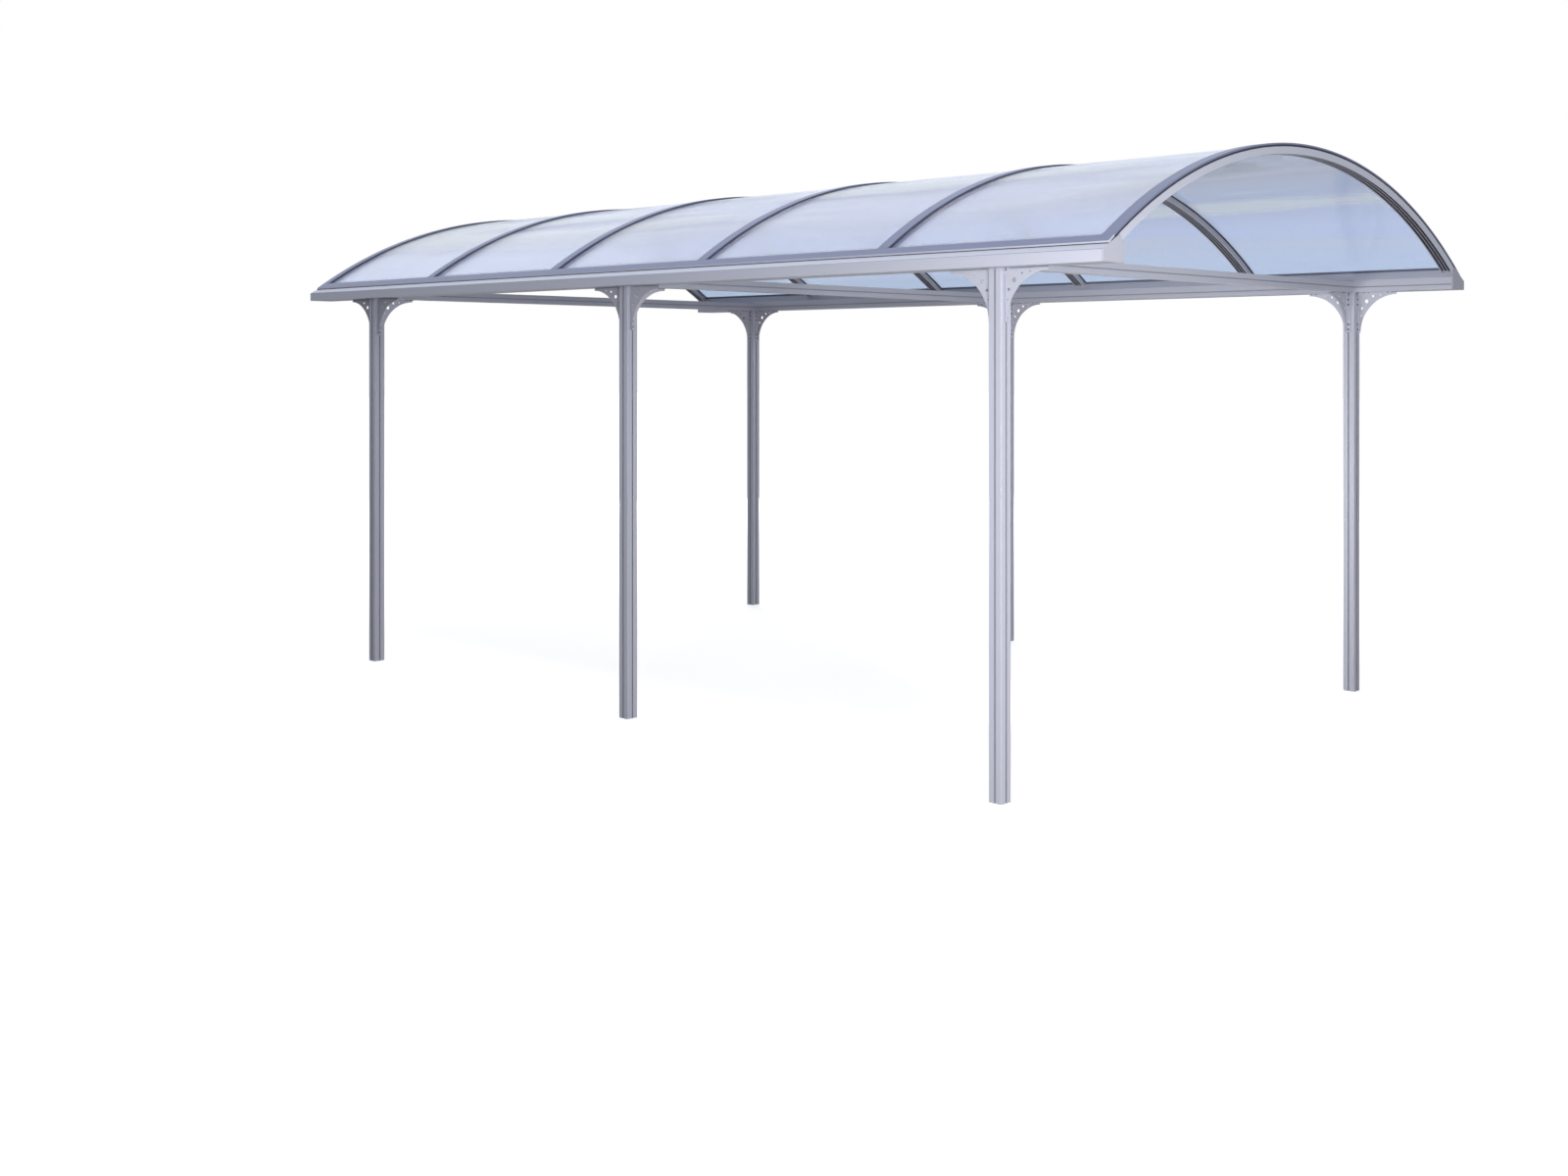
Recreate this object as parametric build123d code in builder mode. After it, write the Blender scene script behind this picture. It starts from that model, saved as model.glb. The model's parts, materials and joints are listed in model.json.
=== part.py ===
from build123d import *
from math import sqrt
import os

# A free-standing carport: six posts, two eave beams and three tie beams carry
# a barrel roof of clear sheets between bent arches.
# X runs along the length with the front at +X, Y across with the left side at -Y.
# The ground is Z = 0 and the origin is under the middle of the roof.

# Overall sizes
overall_length = 5030
overall_width = 2890
overall_height = 2380
post_height = 1865
end_overhang = 495
bay_count = 5

# General fits
seat_gap = 0.6
cut_overrun = 20

# Post extrusion
post_size = 56
post_corner_cut = 1.5
post_wall = 2.5
post_groove_width = 7
post_groove_depth = 4
post_setback = 98

# Eave extrusion, measured inwards from its outer face
eave_width = 125
eave_face_height = 40
eave_facet_run = 38
eave_lip_run = 73
eave_slot_run = 56
eave_ridge_run = 100
eave_inner_share = 0.58
eave_wall = 3
roof_edge_height = 42
side_groove_width = 5
side_groove_depth = 3
side_groove_share = 0.42

# End cap
cap_thickness = 4

# Tie beam
tie_width = 56
tie_height = 48
tie_wall = 2.5

# Arch rib and the strip that clamps the sheets onto it
arch_width = 50
arch_depth = 28
cover_thickness = 7
rib_channel_width = 42
rib_channel_depth = 6

# Roof sheet
panel_thickness = 6
panel_joint_gap = 16
panel_end_gap = 4

# Bracket, folded from sheet. Its round cuts have few sides because it comes eighteen times.
bracket_leg = 188
bracket_tip = 12
bracket_curve_radius = 178
bracket_curve_sides = 48
bracket_hole_sides = 8
bracket_sheet = 2.5
bracket_flange_width = 24
bracket_flange_start = 20
bracket_notch = 10
large_hole_radius = 9
large_hole_place = 43
medium_hole_radius = 5.5
medium_hole_far = 75
medium_hole_near = 20
small_hole_radius = 3
small_hole_far = 110
small_hole_near = 15

# Sizes that follow from the ones above
half_width = overall_width / 2
post_spacing = overall_length / 2 - end_overhang
eave_length = overall_length - 2 * cap_thickness
post_line = half_width - post_setback
eave_inner_line = half_width - eave_width
roof_rise = overall_height - post_height - roof_edge_height
roof_radius = (half_width**2 + roof_rise**2) / (2 * roof_rise)
roof_centre_height = overall_height - roof_radius
cover_inner_radius = roof_radius - cover_thickness
panel_outer_radius = cover_inner_radius - seat_gap
panel_inner_radius = panel_outer_radius - panel_thickness
rib_outer_radius = panel_inner_radius - seat_gap
rib_inner_radius = rib_outer_radius - arch_depth
end_arch_place = eave_length / 2 - arch_width / 2
arch_pitch = 2 * end_arch_place / bay_count
panel_width = arch_pitch - panel_joint_gap
panel_reach = half_width - eave_slot_run - panel_end_gap
cover_reach = half_width - eave_lip_run - seat_gap
ridge_line = half_width - eave_ridge_run

sides = {"left": -1, "right": 1}
rows = {"front": 1, "middle": 0, "back": -1}
ends = {"front": 1, "back": -1}


def on_roof(radius, across):
    # Point at this distance across, on a circle about the roof's centre line
    return (across, roof_centre_height + sqrt(radius**2 - across**2))


ridge = on_roof(rib_outer_radius, ridge_line)
eave_inner_height = eave_inner_share * (ridge[1] - post_height)
inner_top = (eave_inner_line, post_height + eave_inner_height)
side_groove_height = post_height + side_groove_share * eave_inner_height


def on_seat(radius):
    # Point at this radius on the eave's inner slope, where the ribs stand
    run = inner_top[0] - ridge[0]
    drop = inner_top[1] - ridge[1]
    height = ridge[1] - roof_centre_height
    square = run**2 + drop**2
    slope = ridge[0] * run + height * drop
    rest = ridge[0] ** 2 + height**2 - radius**2
    share = (-slope - sqrt(slope**2 - square * rest)) / square
    return (ridge[0] + share * run, ridge[1] + share * drop)


def arc_band(outer_radius, outer_end, inner_radius, inner_end):
    # Band between two roof circles, alike on both sides of the middle
    outer_left = (-outer_end[0], outer_end[1])
    inner_left = (-inner_end[0], inner_end[1])
    with BuildSketch() as band:
        with BuildLine():
            ThreePointArc(outer_left, on_roof(outer_radius, 0), outer_end)
            Line(outer_end, inner_end)
            ThreePointArc(inner_end, on_roof(inner_radius, 0), inner_left)
            Line(inner_left, outer_left)
        make_face()
    return band.sketch


def upright_band(outer_radius, inner_radius, reach):
    # Band whose ends are cut upright at the same distance across
    return arc_band(
        outer_radius, on_roof(outer_radius, reach), inner_radius, on_roof(inner_radius, reach)
    )


def eave_section(side):
    # Hollow section of the eave beam: facet, lip over the sheet's slot, ridge and inner face
    def place(run, height):
        return (side * (half_width - run), post_height + height)

    def arc_place(radius, run):
        across, height = on_roof(radius, half_width - run)
        return (side * across, height)

    def arc_between(radius, start_run, end_run):
        ThreePointArc(
            arc_place(radius, start_run),
            arc_place(radius, (start_run + end_run) / 2),
            arc_place(radius, end_run),
        )

    groove_height = side_groove_height - post_height
    groove_low = groove_height - side_groove_width / 2
    groove_high = groove_height + side_groove_width / 2
    groove_run = eave_width - side_groove_depth
    with BuildSketch() as section:
        with BuildLine():
            Polyline(
                arc_place(rib_outer_radius, eave_ridge_run),
                place(eave_width, eave_inner_height),
                place(eave_width, groove_high),
                place(groove_run, groove_high),
                place(groove_run, groove_low),
                place(eave_width, groove_low),
                place(eave_width, 0),
                place(0, 0),
                place(0, eave_face_height),
                arc_place(cover_inner_radius, eave_facet_run),
                arc_place(roof_radius, eave_facet_run),
            )
            arc_between(roof_radius, eave_facet_run, eave_lip_run)
            Line(arc_place(roof_radius, eave_lip_run), arc_place(cover_inner_radius, eave_lip_run))
            arc_between(cover_inner_radius, eave_lip_run, eave_slot_run)
            Line(
                arc_place(cover_inner_radius, eave_slot_run),
                arc_place(rib_outer_radius, eave_slot_run),
            )
            arc_between(rib_outer_radius, eave_slot_run, eave_ridge_run)
        make_face()
        with BuildLine():
            Polyline(
                place(eave_wall, eave_wall),
                place(eave_wall, eave_face_height - eave_wall),
                arc_place(cover_inner_radius - 2 * eave_wall, eave_facet_run),
                arc_place(rib_outer_radius - eave_wall, eave_slot_run),
                arc_place(rib_outer_radius - 2 * eave_wall, eave_ridge_run),
                place(groove_run - eave_wall, eave_inner_height),
                place(groove_run - eave_wall, eave_wall),
                close=True,
            )
        make_face(mode=Mode.SUBTRACT)
    return section.sketch


def square_extrusion_section():
    # Post section: a square tube of even wall with a groove down each face
    groove_box = post_groove_width + 2 * post_wall
    cavity = post_size - 2 * post_wall
    face_count = 4
    with BuildSketch() as section:
        outline = Rectangle(post_size, post_size)
        chamfer(outline.vertices(), post_corner_cut)
        Rectangle(cavity, cavity, mode=Mode.SUBTRACT)
        with PolarLocations((cavity - post_groove_depth) / 2, face_count):
            Rectangle(post_groove_depth, groove_box)
        with PolarLocations((post_size - post_groove_depth) / 2, face_count):
            Rectangle(post_groove_depth, post_groove_width, mode=Mode.SUBTRACT)
    return section.sketch


os.makedirs("parts", exist_ok=True)

# Posts
for side_name, side in sides.items():
    for row_name, row in rows.items():
        with BuildPart() as post:
            with BuildSketch(Plane((row * post_spacing, side * post_line, 0))):
                add(square_extrusion_section())
            extrude(amount=post_height)
        post.part.label = f"post_{side_name}_{row_name}"
        export_step(post.part, f"parts/{post.part.label}.step")

# Eave beams and the caps on their ends
for side_name, side in sides.items():
    with BuildPart() as eave_beam:
        with BuildSketch(Plane.YZ):
            add(eave_section(side))
        extrude(amount=eave_length / 2, both=True)
    eave_beam.part.label = f"eave_beam_{side_name}"
    export_step(eave_beam.part, f"parts/{eave_beam.part.label}.step")

    for end_name, end in ends.items():
        with BuildPart() as end_cap:
            with BuildSketch(Plane.YZ.offset(end * eave_length / 2)):
                with BuildLine():
                    Polyline(
                        (side * half_width, post_height),
                        (side * half_width, post_height + eave_face_height),
                        (side * ridge[0], ridge[1]),
                        (side * inner_top[0], inner_top[1]),
                        (side * eave_inner_line, post_height),
                        close=True,
                    )
                make_face()
            extrude(amount=end * cap_thickness)
        end_cap.part.label = f"end_cap_{side_name}_{end_name}"
        export_step(end_cap.part, f"parts/{end_cap.part.label}.step")

# Tie beams across each pair of posts, grooved in line with the eave beams
tie_middle_height = post_height + tie_height / 2
groove_rise = side_groove_height - tie_middle_height
groove_place = (tie_width - side_groove_depth) / 2
groove_box_place = groove_place - tie_wall
for row_name, row in rows.items():
    tie_middle = (row * post_spacing, 0, tie_middle_height)
    with BuildPart() as tie_beam:
        with BuildSketch(Plane(tie_middle, x_dir=(1, 0, 0), z_dir=(0, -1, 0))):
            Rectangle(tie_width, tie_height)
            Rectangle(tie_width - 2 * tie_wall, tie_height - 2 * tie_wall, mode=Mode.SUBTRACT)
            with Locations((groove_box_place, groove_rise), (-groove_box_place, groove_rise)):
                Rectangle(side_groove_depth, side_groove_width + 2 * tie_wall)
            with Locations((groove_place, groove_rise), (-groove_place, groove_rise)):
                Rectangle(side_groove_depth, side_groove_width, mode=Mode.SUBTRACT)
        extrude(amount=eave_inner_line, both=True)
    tie_beam.part.label = f"tie_beam_{row_name}"
    export_step(tie_beam.part, f"parts/{tie_beam.part.label}.step")

# Arch ribs with their cover strips, numbered from the front
for number in range(bay_count + 1):
    arch_plane = Plane.YZ.offset(end_arch_place - number * arch_pitch)
    with BuildPart() as arch:
        with BuildSketch(arch_plane):
            add(
                arc_band(
                    rib_outer_radius, ridge, rib_inner_radius, on_seat(rib_inner_radius)
                )
            )
        extrude(amount=arch_width / 2, both=True)
        with BuildSketch(arch_plane):
            add(
                upright_band(
                    rib_inner_radius + rib_channel_depth, rib_inner_radius - cut_overrun, ridge_line
                )
            )
        extrude(amount=rib_channel_width / 2, both=True, mode=Mode.SUBTRACT)
    arch.part.label = f"arch_{number + 1}"
    export_step(arch.part, f"parts/{arch.part.label}.step")

    with BuildPart() as arch_cover:
        with BuildSketch(arch_plane):
            add(upright_band(roof_radius, cover_inner_radius, cover_reach))
        extrude(amount=arch_width / 2, both=True)
    arch_cover.part.label = f"arch_cover_{number + 1}"
    export_step(arch_cover.part, f"parts/{arch_cover.part.label}.step")

# Roof sheets between the arches, numbered from the front
for number in range(bay_count):
    with BuildPart() as roof_panel:
        with BuildSketch(Plane.YZ.offset(end_arch_place - number * arch_pitch - arch_pitch / 2)):
            add(upright_band(panel_outer_radius, panel_inner_radius, panel_reach))
        extrude(amount=panel_width / 2, both=True)
    roof_panel.part.label = f"roof_panel_{number + 1}"
    export_step(roof_panel.part, f"parts/{roof_panel.part.label}.step")


def bracket_web():
    # Web of a bracket: two legs with a hollow edge between them, pierced to save weight
    curve_place = bracket_tip + bracket_curve_radius
    with BuildSketch() as web:
        with Locations((bracket_leg / 2, -bracket_leg / 2)):
            Rectangle(bracket_leg, bracket_leg)
        with Locations((curve_place, -curve_place)):
            RegularPolygon(bracket_curve_radius, bracket_curve_sides, mode=Mode.SUBTRACT)
        Rectangle(2 * bracket_notch, 2 * bracket_notch, mode=Mode.SUBTRACT)
        with Locations((large_hole_place, -large_hole_place)):
            RegularPolygon(large_hole_radius, bracket_hole_sides, mode=Mode.SUBTRACT)
        with Locations((medium_hole_far, -medium_hole_near), (medium_hole_near, -medium_hole_far)):
            RegularPolygon(medium_hole_radius, bracket_hole_sides, mode=Mode.SUBTRACT)
        with Locations((small_hole_far, -small_hole_near), (small_hole_near, -small_hole_far)):
            RegularPolygon(small_hole_radius, bracket_hole_sides, mode=Mode.SUBTRACT)
    return web.sketch


def bracket_flanges():
    # Edge view of the two flanges folded from the web, one per leg
    flange_length = bracket_leg - bracket_flange_start
    flange_middle = bracket_flange_start + flange_length / 2
    with BuildSketch() as flanges:
        with Locations((flange_middle, -bracket_sheet / 2)):
            Rectangle(flange_length, bracket_sheet)
        with Locations((bracket_sheet / 2, -flange_middle)):
            Rectangle(bracket_sheet, flange_length)
    return flanges.sketch


web_shift = bracket_flange_width / 2 - bracket_sheet / 2

# Brackets at every post: a pair under the eave beam with the webs outwards, one under the tie beam
for side_name, side in sides.items():
    for row_name, row in rows.items():
        post_x = row * post_spacing
        post_y = side * post_line
        with BuildPart() as eave_brackets:
            for end in ends.values():
                corner = Plane(
                    origin=(post_x + end * post_size / 2, post_y, post_height),
                    x_dir=(end, 0, 0),
                    z_dir=(0, -end, 0),
                )
                with BuildSketch(corner.offset(-end * side * web_shift)):
                    add(bracket_web())
                extrude(amount=bracket_sheet / 2, both=True)
                with BuildSketch(corner):
                    add(bracket_flanges())
                extrude(amount=bracket_flange_width / 2, both=True)
        eave_brackets.part.label = f"eave_brackets_{side_name}_{row_name}"
        export_step(eave_brackets.part, f"parts/{eave_brackets.part.label}.step")

        with BuildPart() as tie_bracket:
            corner = Plane(
                origin=(post_x, post_y - side * post_size / 2, post_height),
                x_dir=(0, -side, 0),
                z_dir=(-side, 0, 0),
            )
            with BuildSketch(corner.offset(side * web_shift)):
                add(bracket_web())
            extrude(amount=bracket_sheet / 2, both=True)
            with BuildSketch(corner):
                add(bracket_flanges())
            extrude(amount=bracket_flange_width / 2, both=True)
        tie_bracket.part.label = f"tie_bracket_{side_name}_{row_name}"
        export_step(tie_bracket.part, f"parts/{tie_bracket.part.label}.step")
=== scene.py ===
import bpy
import bmesh
import json
from math import asin, cos, pi, radians, sin, sqrt
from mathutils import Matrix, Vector

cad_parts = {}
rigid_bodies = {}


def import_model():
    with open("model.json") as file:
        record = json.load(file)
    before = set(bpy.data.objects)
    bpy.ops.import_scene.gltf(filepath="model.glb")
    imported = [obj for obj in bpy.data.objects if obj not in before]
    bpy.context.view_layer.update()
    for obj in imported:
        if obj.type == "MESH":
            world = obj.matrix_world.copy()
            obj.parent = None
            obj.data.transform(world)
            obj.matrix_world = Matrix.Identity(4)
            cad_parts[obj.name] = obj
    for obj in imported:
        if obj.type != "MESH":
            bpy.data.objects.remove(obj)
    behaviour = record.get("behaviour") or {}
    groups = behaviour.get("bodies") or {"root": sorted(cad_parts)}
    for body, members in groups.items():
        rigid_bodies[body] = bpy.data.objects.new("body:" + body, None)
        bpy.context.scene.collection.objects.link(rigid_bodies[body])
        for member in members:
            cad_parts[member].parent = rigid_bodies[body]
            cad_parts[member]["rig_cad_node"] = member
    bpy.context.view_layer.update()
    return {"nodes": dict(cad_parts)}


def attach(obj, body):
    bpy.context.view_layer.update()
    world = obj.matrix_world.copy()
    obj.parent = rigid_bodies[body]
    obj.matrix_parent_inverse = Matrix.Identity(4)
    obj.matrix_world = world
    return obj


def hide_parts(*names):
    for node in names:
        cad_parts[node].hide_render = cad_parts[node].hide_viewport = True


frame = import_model()
scene = bpy.context.scene

# sizes in metres, as in the solids
roof = {
    "halfWidth": 1.445, "top": 2.380, "edge": 0.042, "postHeight": 1.865,
    "cover": 0.007, "fit": 0.0006, "sheet": 0.006, "ribDepth": 0.028,
    "endArch": 2.486, "bays": 5, "ribWidth": 0.050,
    "coverReach": 1.3714, "sheetReach": 1.385, "ridgeRun": 0.100, "eaveWidth": 0.125,
    "innerShare": 0.58, "steps": 120,
}
rise = roof["top"] - roof["postHeight"] - roof["edge"]
roofRadius = (roof["halfWidth"] ** 2 + rise ** 2) / (2 * rise)
roofCentre = roof["top"] - roofRadius
coverInner = roofRadius - roof["cover"]
sheetOuter = coverInner - roof["fit"]
sheetInner = sheetOuter - roof["sheet"]
ribOuter = sheetInner - roof["fit"]
ribInner = ribOuter - roof["ribDepth"]
archPitch = 2 * roof["endArch"] / roof["bays"]
archPlaces = [roof["endArch"] - n * archPitch for n in range(roof["bays"] + 1)]
ridgeLine = roof["halfWidth"] - roof["ridgeRun"]
innerLine = roof["halfWidth"] - roof["eaveWidth"]
ridgeHeight = roofCentre + sqrt(ribOuter ** 2 - ridgeLine ** 2)
innerTop = roof["postHeight"] + roof["innerShare"] * (ridgeHeight - roof["postHeight"])
flatAngle, plainAngle, holeAngle = 12, 30, 40  # smoothing: soft edges, plain pieces, pieces with round holes
mergeGap, pickGap = 0.00001, 0.0001
sides = {"left": -1, "right": 1}
rows = {"front": 1, "middle": 0, "back": -1}


def roofHeight(radius, across):  # height of a roof circle at this distance from the middle
    return roofCentre + sqrt(radius ** 2 - across ** 2)


# modelling helpers
def freshStart():
    if bpy.context.mode != "OBJECT":
        bpy.ops.object.mode_set(mode="OBJECT")
    bpy.ops.object.select_all(action="DESELECT")


def pick(obj, kind, test):  # selects points, edges or faces by their place and normal
    bpy.ops.object.mode_set(mode="EDIT")
    bpy.ops.mesh.select_mode(type=kind)
    bpy.ops.mesh.select_all(action="DESELECT")
    mesh = bmesh.from_edit_mesh(obj.data)
    if kind == "VERT":
        for point in mesh.verts:
            point.select_set(test(point.co))
    elif kind == "EDGE":
        for edge in mesh.edges:
            edge.select_set(all(test(p.co) for p in edge.verts))
    else:
        for face in mesh.faces:
            face.select_set(test(face.calc_center_median(), face.normal))
    mesh.select_flush_mode()
    bmesh.update_edit_mesh(obj.data)


def startPoint(name, place):  # a single point to draw an outline from
    freshStart()
    bpy.ops.mesh.primitive_plane_add(size=0.01)
    obj = bpy.context.object
    obj.name = name
    obj.data.name = name
    bpy.ops.object.mode_set(mode="EDIT")
    bpy.ops.mesh.select_mode(type="VERT")
    bpy.ops.mesh.select_all(action="SELECT")
    bpy.ops.mesh.merge(type="CENTER")
    bpy.ops.transform.translate(value=place)
    return obj


def drawOn(places):  # extrudes the chosen point along the places
    for before, after in zip(places, places[1:]):
        step = tuple(b - a for a, b in zip(before, after))
        bpy.ops.mesh.extrude_vertices_move(TRANSFORM_OT_translate={"value": step})


def drawLoop(name, places):  # closed outline with one face
    obj = startPoint(name, places[0])
    drawOn(places + [places[0]])
    bpy.ops.mesh.select_all(action="SELECT")
    bpy.ops.mesh.remove_doubles(threshold=mergeGap)
    bpy.ops.mesh.edge_face_add()
    return obj


def makeSolid(obj):  # merges, points the faces outwards and leaves edit mode
    bpy.ops.object.mode_set(mode="EDIT")
    bpy.ops.mesh.select_all(action="SELECT")
    bpy.ops.mesh.remove_doubles(threshold=mergeGap)
    bpy.ops.mesh.normals_make_consistent(inside=False)
    bpy.ops.object.mode_set(mode="OBJECT")


def softenEdges(obj, width, segments=2, angle=35):
    bpy.context.view_layer.objects.active = obj
    bevel = obj.modifiers.new("edges", "BEVEL")
    bevel.width = width
    bevel.segments = segments
    bevel.limit_method = "ANGLE"
    bevel.angle_limit = radians(angle)
    bpy.ops.object.modifier_apply(modifier=bevel.name)


def smoothShade(obj, angle=plainAngle):
    freshStart()
    obj.select_set(True)
    bpy.context.view_layer.objects.active = obj
    bpy.ops.object.shade_smooth_by_angle(angle=radians(angle))


# a copy with a mesh of its own, which takes up the place, the turn and the flip
def copyAt(obj, name, move=(0, 0, 0), turn=(0, 0, 0), flip=(1, 1, 1)):
    freshStart()
    obj.select_set(True)
    bpy.context.view_layer.objects.active = obj
    bpy.ops.object.duplicate(linked=False)
    made = bpy.context.object
    made.name = name
    made.data.name = name
    made.location = move
    made.rotation_euler = turn
    made.scale = flip
    bpy.ops.object.transform_apply(location=True, rotation=True, scale=True)
    if flip[0] * flip[1] * flip[2] < 0:
        bpy.ops.object.mode_set(mode="EDIT")
        bpy.ops.mesh.select_all(action="SELECT")
        bpy.ops.mesh.normals_make_consistent(inside=False)
        bpy.ops.object.mode_set(mode="OBJECT")
    return made


def joinAll(objs, name):
    freshStart()
    for obj in objs:
        obj.select_set(True)
    bpy.context.view_layer.objects.active = objs[0]
    if len(objs) > 1:
        bpy.ops.object.join()
    objs[0].name = name
    objs[0].data.name = name
    return objs[0]


def spinProfile(name, outline, reach, steps):  # outline in place along X and radius, spun over the roof
    start = -asin(reach)
    places = [(x, r * sin(start), roofCentre + r * cos(start)) for x, r in outline]
    obj = drawLoop(name, places)
    bpy.ops.mesh.spin(steps=steps, angle=2 * asin(reach), center=(0, 0, roofCentre), axis=(1, 0, 0))
    makeSolid(obj)
    return obj


def stripOutline(low, high, inner, outer):
    return [(low, inner), (high, inner), (high, outer), (low, outer)]


def pullOut(obj, length):  # pulls a drawn outline out along X and closes it
    bpy.ops.mesh.select_all(action="SELECT")
    bpy.ops.mesh.extrude_region_move(TRANSFORM_OT_translate={"value": (length, 0, 0)})
    makeSolid(obj)


def alongRoof(first, name, count):  # the first piece, then copies of it as it was left, one arch pitch apart
    yield first
    for number in range(1, count):
        yield copyAt(first, f"{name}_{number + 1}", (-number * archPitch, 0, 0))


def giveSecond(obj, material, test):  # a second material on the faces that the test picks
    freshStart()
    obj.data.materials.append(material)
    bpy.context.view_layer.objects.active = obj
    pick(obj, "FACE", test)
    obj.active_material_index = 1
    bpy.ops.object.material_slot_assign()
    freshStart()


# materials
def newMaterial(name):
    material = bpy.data.materials.new(name)
    material.use_nodes = True
    return material, material.node_tree.nodes, material.node_tree.links


def newMath(nodes, links, operation, first, second):  # two sockets, or a socket and a number
    node = nodes.new("ShaderNodeMath")
    node.operation = operation
    links.new(first, node.inputs[0])
    if isinstance(second, float):
        node.inputs[1].default_value = second
    else:
        links.new(second, node.inputs[1])
    return node.outputs[0]


# maps one span of values to another
def newRange(nodes, links, source, goal, start=(0.0, 1.0), curve="LINEAR"):
    node = nodes.new("ShaderNodeMapRange")
    node.interpolation_type = curve
    for socket, value in zip(("From Min", "From Max", "To Min", "To Max"), (*start, *goal)):
        node.inputs[socket].default_value = value
    links.new(source, node.inputs["Value"])
    return node.outputs["Result"]


def newMix(nodes, links, share, first, second):  # each of the two is a colour or a socket
    node = nodes.new("ShaderNodeMix")
    node.data_type = "RGBA"
    links.new(share, node.inputs[0])
    for colour, socket in ((first, node.inputs[6]), (second, node.inputs[7])):
        if isinstance(colour, tuple):
            socket.default_value = (*colour, 1)
        else:
            links.new(colour, socket)
    return node.outputs[2]


def newRamp(nodes, links, source, stops, curve="LINEAR"):  # stops are places and colours
    node = nodes.new("ShaderNodeValToRGB")
    node.color_ramp.interpolation = curve
    elements = node.color_ramp.elements
    while len(elements) < len(stops):
        elements.new(0.5)
    for element, (where, colour) in zip(elements, stops):
        element.position = where
        element.color = (*colour, 1)
    links.new(source, node.inputs[0])
    return node.outputs[0]


def newNoise(nodes, links, vector, scale, detail=2.0):
    node = nodes.new("ShaderNodeTexNoise")
    node.inputs["Scale"].default_value = scale
    node.inputs["Detail"].default_value = detail
    links.new(vector, node.inputs["Vector"])
    return node


def addBump(nodes, links, surface, height, strength, distance):
    bump = nodes.new("ShaderNodeBump")
    bump.inputs["Strength"].default_value = strength
    bump.inputs["Distance"].default_value = distance
    links.new(height, bump.inputs["Height"])
    links.new(bump.outputs["Normal"], surface.inputs["Normal"])


def makeDrawnGrain():  # fine lines along an extrusion and broad soft unevenness
    group = bpy.data.node_groups.new("drawnGrain", "ShaderNodeTree")
    group.interface.new_socket("Stretch", in_out="INPUT", socket_type="NodeSocketVector")
    group.interface.new_socket("Lines", in_out="OUTPUT", socket_type="NodeSocketFloat")
    group.interface.new_socket("Clouds", in_out="OUTPUT", socket_type="NodeSocketFloat")
    nodes, links = group.nodes, group.links
    given = nodes.new("NodeGroupInput")
    result = nodes.new("NodeGroupOutput")
    place = nodes.new("ShaderNodeTexCoord")
    stretched = nodes.new("ShaderNodeVectorMath")
    stretched.operation = "MULTIPLY"
    links.new(place.outputs["Object"], stretched.inputs[0])
    links.new(given.outputs["Stretch"], stretched.inputs[1])
    lines = newNoise(nodes, links, stretched.outputs["Vector"], 1.0)
    clouds = newNoise(nodes, links, place.outputs["Object"], noise["clouds"])
    links.new(lines.outputs["Fac"], result.inputs["Lines"])
    links.new(clouds.outputs["Fac"], result.inputs["Clouds"])
    return group


noise = {"clouds": 1.3, "broad": 6.0, "streakRough": 0.45}
bumpDepth = {"metal": 0.0004, "coat": 0.0003, "flutes": 0.001}
drawnGrain = makeDrawnGrain()


def drawnMetal(name, finish):  # anodised extrusion with lines along its length and painted shade in its grooves and inner corners
    material, nodes, links = newMaterial(name)
    surface = nodes["Principled BSDF"]
    surface.inputs["Metallic"].default_value = finish["metallic"]
    surface.inputs["Specular IOR Level"].default_value = 0.5
    grain = nodes.new("ShaderNodeGroup")
    grain.node_tree = drawnGrain
    grain.inputs["Stretch"].default_value = finish["stretch"]
    lines = grain.outputs["Lines"]
    both = newMath(nodes, links, "ADD", lines, grain.outputs["Clouds"])
    tone = newMix(nodes, links, newMath(nodes, links, "MULTIPLY", both, 0.5), finish["dark"], finish["light"])
    grooveShadeAO = nodes.new("ShaderNodeAmbientOcclusion")  # painted shade: grooves and inner corners are darkened by ambient occlusion
    grooveShadeAO.samples = finish["grooveShadeSamples"]
    grooveShadeAO.only_local = True
    grooveShadeAO.inputs["Distance"].default_value = finish["grooveShadeReach"]
    clear = newRange(nodes, links, grooveShadeAO.outputs["AO"], (0.0, 1.0), finish["grooveShadeSpan"])
    paintedGrooveShade = tuple(finish["grooveShadeTone"] * c for c in finish["dark"])
    links.new(newMix(nodes, links, clear, paintedGrooveShade, tone), surface.inputs["Base Color"])
    links.new(newRange(nodes, links, lines, finish["rough"]), surface.inputs["Roughness"])
    addBump(nodes, links, surface, lines, finish["bump"], bumpDepth["metal"])
    return material


def grainyCoat(name, finish):  # powder coat, plastic or rubber with a fine skin
    material, nodes, links = newMaterial(name)
    surface = nodes["Principled BSDF"]
    surface.inputs["Metallic"].default_value = finish["metallic"]
    place = nodes.new("ShaderNodeTexCoord").outputs["Object"]
    skin = newNoise(nodes, links, place, finish["scale"]).outputs["Fac"]
    broad = newNoise(nodes, links, place, noise["broad"]).outputs["Fac"]
    links.new(newMix(nodes, links, broad, finish["dark"], finish["light"]), surface.inputs["Base Color"])
    links.new(newRange(nodes, links, skin, finish["rough"]), surface.inputs["Roughness"])
    addBump(nodes, links, surface, skin, finish["bump"], bumpDepth["coat"])
    return material


# the groove shade values paint shade into the grooves and inner corners of the extrusions
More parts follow.
